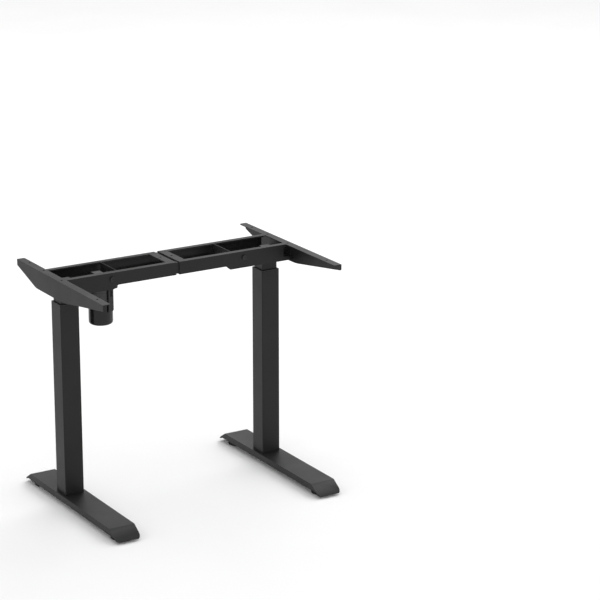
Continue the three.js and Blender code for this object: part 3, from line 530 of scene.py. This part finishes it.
def publish(bm: bmesh.types.BMesh, name: str) -> bpy.types.Object:
    """Turns a mesh into a piece with smooth shading that keeps its flats flat.

    Args:
        bm: the finished mesh, which is used up.
        name: the piece's name.

    Returns:
        The piece, at the origin.
    """
    for face in bm.faces:
        face.smooth = True
    for edge in bm.edges:
        edge.smooth = not edge.is_manifold or edge.calc_face_angle() < SMOOTH_BELOW
    mesh = bpy.data.meshes.new(name)
    bm.to_mesh(mesh)
    bm.free()
    piece = bpy.data.objects.new(name, mesh)
    bpy.context.scene.collection.objects.link(piece)
    flats = piece.modifiers.new("flat_faces", "WEIGHTED_NORMAL")
    flats.keep_sharp = True
    return piece


def refined(node: str, rounding: Rounding = Rounding()) -> bpy.types.Object:
    """Makes a piece from a CAD node's shape, with its edges rounded over.

    Args:
        node: the CAD node.
        rounding: how its edges are rounded.

    Returns:
        The piece.
    """
    bm = bmesh.new()
    bm.from_mesh(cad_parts[node].data)
    bmesh.ops.remove_doubles(bm, verts=bm.verts, dist=CAD_MERGE)
    bmesh.ops.dissolve_limit(bm, angle_limit=FLAT_BELOW, verts=bm.verts, edges=bm.edges)
    rounding.apply(bm)
    return publish(bm, f"{node}_piece")


def middle(node: str) -> Vector:
    """Gives the middle of a CAD node's box.

    Args:
        node: the CAD node.

    Returns:
        The point.
    """
    low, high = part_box(node)
    return (low + high) / 2


def turned(profile: Iterable[tuple[float, float]], axis_at: Vector, steps: int = 48) -> bmesh.types.BMesh:
    """Spins a profile round a vertical axis.

    Args:
        profile: radius and height of each point, from axis to axis.
        axis_at: a point on the axis.
        steps: faces round the turn.

    Returns:
        The mesh, closed, with its faces outwards.
    """
    bm = bmesh.new()
    points = [bm.verts.new((axis_at.x + r, axis_at.y, z)) for r, z in profile]
    edges = [bm.edges.new(pair) for pair in zip(points, points[1:])]
    bmesh.ops.spin(
        bm, geom=[*points, *edges], cent=(axis_at.x, axis_at.y, 0), axis=(0, 0, 1),
        angle=math.tau, steps=steps, use_merge=True)
    bmesh.ops.remove_doubles(bm, verts=bm.verts, dist=TURNED_MERGE)
    bmesh.ops.recalc_face_normals(bm, faces=bm.faces)
    return bm


@dataclass(frozen=True)
class Thread:
    """Ridges wound round a vertical bar; hand is 1 for a right-hand thread, -1 for a left-hand one."""

    crest: float
    depth: float
    lead: float
    starts: int = 1
    steps: int = 20
    hand: int = 1
    sunk: float = 1.15
    root_half: float = 0.34
    crest_half: float = 0.17

    def wind(self, bm: bmesh.types.BMesh, axis_at: Vector, low: float, high: float) -> None:
        """Adds the ridges to a bar.

        Args:
            bm: the bar's mesh.
            axis_at: a point on the axis.
            low: height of the lowest ridge.
            high: height of the highest ridge.
        """
        pitch = self.lead / self.starts
        root = self.crest - self.depth * self.sunk
        section = (
            (root, -self.root_half), (self.crest, -self.crest_half),
            (self.crest, self.crest_half), (root, self.root_half),
        )
        count = int((high - low - self.lead) / self.lead * self.steps)
        for start in range(self.starts):
            bottom = low + pitch * (start + 0.5)
            ring = [bm.verts.new((axis_at.x + r, axis_at.y, bottom + part * pitch)) for r, part in section]
            edges = [bm.edges.new((a, b)) for a, b in zip(ring, ring[1:] + ring[:1])]
            swept = bmesh.ops.spin(
                bm, geom=[*ring, *edges], cent=(axis_at.x, axis_at.y, 0), axis=(0, 0, 1),
                dvec=(0, 0, self.lead / self.steps), angle=self.hand * math.tau * count / self.steps,
                steps=count)
            bmesh.ops.contextual_create(bm, geom=ring)
            last = [v for v in swept["geom_last"] if isinstance(v, bmesh.types.BMVert)]
            bmesh.ops.contextual_create(bm, geom=last)
        bmesh.ops.recalc_face_normals(bm, faces=bm.faces)


def dress(piece: bpy.types.Object, finish: Finish, body: str, *nodes: str) -> None:
    """Gives a piece its material and joins it to the frame.

    Args:
        piece: the piece.
        finish: its material.
        body: the body that it moves with.
        nodes: the CAD nodes that it stands for.
    """
    piece.data.materials.clear()
    piece.data.materials.append(finish.material())
    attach(piece, body)
    if nodes:
        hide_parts(*nodes)
    log.info("%s rides on %s", piece.name, body)


def dress_node(node: str, finish: Finish) -> None:
    """Gives a CAD node that is shown as it is its material.

    Args:
        node: the CAD node.
        finish: its material.
    """
    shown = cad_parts[node]
    if not shown.material_slots:
        shown.data.materials.append(finish.material())
    for place in shown.material_slots:
        place.material = finish.material()
    log.info("%s keeps its CAD shape", node)


# ---- sub-assemblies ---------------------------------------------------------------------------------


@dataclass
class Foot:
    """A T foot: the pressed sheet, its two levelling pads and the bolts into the column."""

    side: Side
    press_radius: float = 1.0 * MM
    pad_height: float = 7 * MM
    pad_edge: float = 1.5 * MM
    pad_corner: float = 0.3
    pad_groove: float = 0.8 * MM
    groove_inner: float = 0.72
    groove_outer: float = 0.75
    neck: float = 9 * MM
    neck_height: float = 5 * MM
    neck_edge: float = 0.6 * MM
    stud: float = 4 * MM
    stud_pitch: float = 1.25 * MM
    stud_thread: float = 0.7 * MM
    stud_plain: float = 1.5 * MM
    stud_runout: float = 0.5 * MM
    stud_tip: float = 0.6 * MM
    sheet: float = 2.5 * MM
    sheet_gap: float = 0.4 * MM
    bolt_spacing: float = 36 * MM
    bolt_shank: float = 4 * MM
    bolt_tip: float = 0.5 * MM
    bolt_head: float = 7 * MM
    bolt_head_height: float = 4.4 * MM
    bolt_dome: float = 0.6
    bolt_shoulder: float = 0.88
    bolt_dome_height: float = 1.2 * MM
    bolt_rim: float = 0.8 * MM
    bolt_key: float = 2.9 * MM
    bolt_key_depth: float = 2.4 * MM
    pad_steps: int = 64
    stud_steps: int = 24
    thread_steps: int = 16
    bolt_steps: int = 32

    def build(self) -> None:
        """Makes and dresses the foot."""
        self.dress_sheet()
        for face in Face:
            self.build_glide(face)
        self.build_bolts()

    def dress_sheet(self) -> None:
        """Makes the pressed sheet and the plate that the column stands on."""
        node = f"{self.side.word}_foot"
        dress(refined(node, Rounding(self.press_radius)), POWDER_COAT, self.side.base, node)
        dress_node(f"{self.side.word}_base_plate", ZINC_STEEL)

    def build_glide(self, face: Face) -> None:
        """Makes a rubber pad and its threaded stud.

        Args:
            face: which end of the foot.
        """
        node = f"{self.side.word}_{face.word}_glide"
        low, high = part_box(node)
        at = middle(node)
        pad = turned(self.pad_profile((high.x - low.x) / 2, low.z), at, self.pad_steps)
        dress(publish(pad, f"{node}_pad"), RUBBER, node, node)
        seat = low.z + self.pad_height + self.neck_height
        screw = turned(self.stud_profile(seat, high.z), at, self.stud_steps)
        thread = Thread(self.stud, self.stud_thread, self.stud_pitch, steps=self.thread_steps)
        thread.wind(screw, at, seat + self.stud_plain - self.stud_runout, high.z)
        dress(publish(screw, f"{node}_stud"), ZINC_STEEL, node)

    def pad_profile(self, radius: float, bottom: float) -> list[tuple[float, float]]:
        """Gives the half section of a pad and its neck.

        Args:
            radius: of the pad.
            bottom: its lowest height.

        Returns:
            Radius and height of each point.
        """
        top = bottom + self.pad_height
        soft = self.pad_edge
        cut = soft * self.pad_corner
        groove = bottom + self.pad_groove
        neck_top = top + self.neck_height
        return [
            (0, groove), (radius * self.groove_inner, groove), (radius * self.groove_outer, bottom),
            (radius - soft, bottom), (radius - cut, bottom + cut), (radius, bottom + soft),
            (radius, top - soft), (radius - cut, top - cut), (radius - soft, top),
            (self.neck + soft, top), (self.neck, top + soft), (self.neck, neck_top - self.neck_edge),
            (self.neck - self.neck_edge, neck_top), (0, neck_top),
        ]

    def stud_profile(self, bottom: float, top: float) -> list[tuple[float, float]]:
        """Gives the half section of the bar that a pad's thread is wound on.

        Args:
            bottom: its lowest height.
            top: its highest height.

        Returns:
            Radius and height of each point.
        """
        bar = self.stud - self.stud_thread
        plain = bottom + self.stud_plain
        return [
            (0, bottom), (self.stud, bottom), (self.stud, plain), (bar, plain + self.stud_runout),
            (bar, top - self.stud_tip), (bar - self.stud_tip, top), (0, top),
        ]

    def build_bolts(self) -> None:
        """Makes the four bolts that hold the column, with their heads under the sheet."""
        column = middle(f"{self.side.word}_outer_tube")
        plate_low, plate_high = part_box(f"{self.side.word}_base_plate")
        profile = self.bolt_profile(plate_low.z - self.sheet - self.sheet_gap, plate_high.z)
        half = self.bolt_spacing / 2
        for right in (-1, 1):
            for back in (-1, 1):
                at = column + Vector((right * half, back * half, 0))
                bolt = turned(profile, at, self.bolt_steps)
                name = f"{self.side.word}_foot_bolt_{'r' if right > 0 else 'l'}{'b' if back > 0 else 'f'}"
                dress(publish(bolt, name), ZINC_STEEL, self.side.base)

    def bolt_profile(self, seat: float, top: float) -> list[tuple[float, float]]:
        """Gives the half section of a bolt that points up.

        Args:
            seat: height of the underside of the sheet.
            top: height of the bolt's end.

        Returns:
            Radius and height of each point.
        """
        bottom = seat - self.bolt_head_height
        key_floor = bottom + self.bolt_key_depth
        return [
            (0, key_floor), (self.bolt_key, key_floor), (self.bolt_key, bottom),
            (self.bolt_head * self.bolt_dome, bottom),
            (self.bolt_head * self.bolt_shoulder, bottom + self.bolt_dome_height),
            (self.bolt_head, seat - self.bolt_rim), (self.bolt_head, seat),
            (self.bolt_shank, seat), (self.bolt_shank, top - self.bolt_tip),
            (self.bolt_shank - self.bolt_tip, top), (0, top),
        ]


@dataclass
class Column:
    """A telescoping column: outer tube with its guide collar, and inner tube with its slide shoe."""

    side: Side
    cut_edge: float = 0.5 * MM

    def build(self) -> None:
        """Makes and dresses the column."""
        word = self.side.word
        edge = Rounding(self.cut_edge)
        dress(refined(f"{word}_outer_tube", edge), POWDER_COAT, self.side.base, f"{word}_outer_tube")
        dress(refined(f"{word}_inner_tube", edge), POWDER_COAT, self.side.head, f"{word}_inner_tube")
        dress(refined(f"{word}_guide_collar", edge), MOULDED_PLASTIC, self.side.base, f"{word}_guide_collar")
        dress_node(f"{word}_slide_shoe", MOULDED_PLASTIC)


@dataclass
class LiftDrive:
    """The screw drive inside a column, and the bevel gearbox on top of it."""

    side: Side
    screw_lead: float = 12 * MM
    screw_starts: int = 2
    thread_depth: float = 1.4 * MM
    thread_lift: float = 2 * MM
    screw_chamfer: float = 1 * MM
    plain_length: float = 22 * MM
    journal: float = 3.0 * MM
    journal_tip: float = 0.6 * MM
    screw_steps: int = 32
    case_edge: float = 1.2 * MM

    def build(self) -> None:
        """Makes the screw and the case, and dresses the rest."""
        word = self.side.word
        self.build_screw()
        case = f"{word}_gearbox_case"
        dress(refined(case, Rounding(self.case_edge)), BLACK_CASTING, self.side.head, case)
        for part, finish in (
            ("nut_tube", ZINC_STEEL), ("lift_nut", BRONZE), ("screw_gear", ZINC_STEEL),
            ("screw_bearing", ZINC_STEEL), ("shaft_bush", BRONZE), ("shaft_gear", ZINC_STEEL),
        ):
            dress_node(f"{word}_{part}", finish)

    def build_screw(self) -> None:
        """Makes the lead screw with its thread, left-handed in the right column."""
        node = f"{self.side.word}_lead_screw"
        low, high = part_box(node)
        at = middle(node)
        crest = (high.x - low.x) / 2
        core = crest - self.thread_depth
        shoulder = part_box(f"{self.side.word}_screw_bearing")[1].z
        thread_top = shoulder - self.plain_length
        screw = turned([
            (0, low.z), (core - self.screw_chamfer, low.z), (core, low.z + self.screw_chamfer),
            (core, thread_top), (crest, thread_top + self.screw_chamfer), (crest, shoulder),
            (self.journal, shoulder), (self.journal, high.z - self.journal_tip),
            (self.journal - self.journal_tip, high.z), (0, high.z),
        ], at, self.screw_steps)
        thread = Thread(
            crest, self.thread_depth, self.screw_lead, starts=self.screw_starts, hand=-self.side.value)
        thread.wind(screw, at, low.z + self.thread_lift, thread_top)
        dress(publish(screw, f"{node}_piece"), ZINC_STEEL, f"{self.side.word}_screw", node)


@dataclass
class TopFrame:
    """One half of the top frame: rails, plates, saddle, side bracket and locking bolts."""

    side: Side
    sheet_edge: float = 0.7 * MM
    bend_radius: float = 1.1 * MM
    bolt_edge: float = 0.5 * MM

    def build(self) -> None:
        """Makes and dresses the half."""
        word = self.side.word
        sheet = Rounding(self.sheet_edge)
        for part in ("head_saddle", "end_plate", "partition"):
            node = f"{word}_{part}"
            dress(refined(node, sheet), POWDER_COAT, self.side.head, node)
        bracket = f"{word}_side_bracket"
        dress(refined(bracket, Rounding(self.bend_radius)), POWDER_COAT, self.side.head, bracket)
        for face in Face:
            rail = f"{word}_{face.word}_rail"
            dress(refined(rail, Rounding(self.bend_radius)), POWDER_COAT, self.side.head, rail)
            bolt = f"{word}_{face.word}_lock_bolt"
            dress(refined(bolt, Rounding(self.bolt_edge)), BLACK_OXIDE, self.side.head, bolt)


@dataclass
class CrossDrive:
    """What runs across between the halves: the slide rails, the hexagon rod and the tube it slides in."""

    sheet_edge: float = 0.7 * MM

    def build(self) -> None:
        """Makes and dresses them."""
        for face in Face:
            rail = f"{face.word}_slide_rail"
            dress(refined(rail, Rounding(self.sheet_edge)), POWDER_COAT, Side.LEFT.head, rail)
        for node, finish in (("drive_rod", ZINC_STEEL), ("drive_tube", ZINC_STEEL), ("worm_wheel", BRONZE)):
            dress_node(node, finish)


@dataclass
class Motor:
    """The motor with its worm case and plug housing."""

    can_edge: float = 0.6 * MM
    case_edge: float = 1.2 * MM

    def build(self) -> None:
        """Makes and dresses the motor."""
        body = Side.LEFT.head
        dress(refined("motor_can", Rounding(self.can_edge)), MOTOR_PAINT, body, "motor_can")
        dress(refined("motor_bell", Rounding(self.can_edge)), BLACK_CASTING, body, "motor_bell")
        dress(refined("motor_gearcase", Rounding(self.case_edge)), BLACK_CASTING, body, "motor_gearcase")
        dress(
            refined("motor_plug_housing", Rounding(self.can_edge)), MOULDED_PLASTIC, body,
            "motor_plug_housing")
        dress_node("motor_magnets", BLACK_OXIDE)
        dress_node("motor_rotor", ZINC_STEEL)


# ---- studio -----------------------------------------------------------------------------------------


def pointing(at: Vector, towards: Vector) -> Matrix:
    """Gives the place of a lamp or camera that looks at a point.

    Args:
        at: where it stands.
        towards: what it looks at.

    Returns:
        Its matrix.
    """
    turn = (towards - at).to_track_quat("-Z", "Y")
    return Matrix.Translation(at) @ turn.to_matrix().to_4x4()


@dataclass
class SoftLight:
    """A large square lamp."""

    name: str
    at: Vector
    towards: Vector
    width: float
    power: float

    def build(self) -> None:
        """Adds the lamp."""
        data = bpy.data.lights.new(self.name, "AREA")
        data.shape = "SQUARE"
        data.size = self.width
        data.energy = self.power
        lamp = bpy.data.objects.new(self.name, data)
        lamp.matrix_world = pointing(self.at, self.towards)
        bpy.context.scene.collection.objects.link(lamp)


@dataclass
class Studio:
    """The plain floor, the light and the camera."""

    floor_half: float = 40.0
    paper_dark: Colour = (0.93, 0.93, 0.93)
    paper_light: Colour = (0.95, 0.95, 0.95)
    sky: float = 0.95
    lit_height: float = 0.4
    azimuth: float = math.radians(-31.63)
    elevation: float = math.radians(16.88)
    lens: float = 146.7
    distance: float = 7.535
    aim_right: float = 0.374
    aim_back: float = -0.091
    aim_up: float = 0.573

    def build(self) -> None:
        """Sets up the studio."""
        self.build_floor()
        self.build_lights()
        self.build_camera()

    def build_floor(self) -> None:
        """Adds a pale floor that reaches past the view on every side."""
        bm = bmesh.new()
        bmesh.ops.create_grid(bm, x_segments=8, y_segments=8, size=self.floor_half)
        mesh = bpy.data.meshes.new("studio_floor")
        bm.to_mesh(mesh)
        bm.free()
        floor = bpy.data.objects.new("studio_floor", mesh)
        bpy.context.scene.collection.objects.link(floor)
        material = bpy.data.materials.new("studio_paper")
        material.use_nodes = True
        material.node_tree.nodes.clear()
        wiring = Wiring(material.node_tree)
        place = wiring.add("ShaderNodeTexCoord").outputs["Object"]
        mottle = Mottle().place(wiring, Vector=place, Scale=2.0, Specks=0.1).outputs["Mask"]
        colour = wiring.blend(mottle, (*self.paper_dark, 1), (*self.paper_light, 1))
        paper = wiring.add("ShaderNodeBsdfPrincipled", {
            "Base Color": colour, "Roughness": 0.9, "Specular IOR Level": 0.1})
        wiring.add("ShaderNodeOutputMaterial", {"Surface": paper.outputs[0]})
        mesh.materials.append(material)

    def build_lights(self) -> None:
        """Adds a white surround, a wide lamp high at the right and a weaker one at the left."""
        world = bpy.data.worlds.new("studio_world")
        world.use_nodes = True
        background = world.node_tree.nodes["Background"]
        background.inputs["Color"].default_value = (1, 1, 1, 1)
        background.inputs["Strength"].default_value = self.sky
        bpy.context.scene.world = world
        centre = Vector((0, 0, self.lit_height))
        SoftLight("high_light", Vector((4.0, 3.0, 5.5)), centre, width=5.0, power=140.0).build()
        SoftLight("left_light", Vector((-3.4, 0.6, 1.9)), centre, width=2.0, power=1.0).build()

    def build_camera(self) -> None:
        """Adds the camera, with the frame standing in the lower left of its view."""
        level = math.cos(self.elevation)
        back = Vector((
            math.sin(self.azimuth) * level, -math.cos(self.azimuth) * level, math.sin(self.elevation)))
        aim = Vector((self.aim_right, self.aim_back, self.aim_up))
        data = bpy.data.cameras.new("studio_camera")
        data.lens = self.lens
        data.sensor_width = 36.0
        camera = bpy.data.objects.new("studio_camera", data)
        camera.matrix_world = pointing(aim + back * self.distance, aim)
        bpy.context.scene.collection.objects.link(camera)
        bpy.context.scene.camera = camera
        bpy.context.scene.view_settings.view_transform = "Standard"


def main() -> None:
    """Builds every sub-assembly, then the studio."""
    logging.basicConfig(level=logging.INFO, format="%(name)s: %(message)s")
    for side in Side:
        for part in (Foot(side), Column(side), LiftDrive(side), TopFrame(side)):
            part.build()
    CrossDrive().build()
    Motor().build()
    Studio().build()


if __name__ == "__main__":
    main()
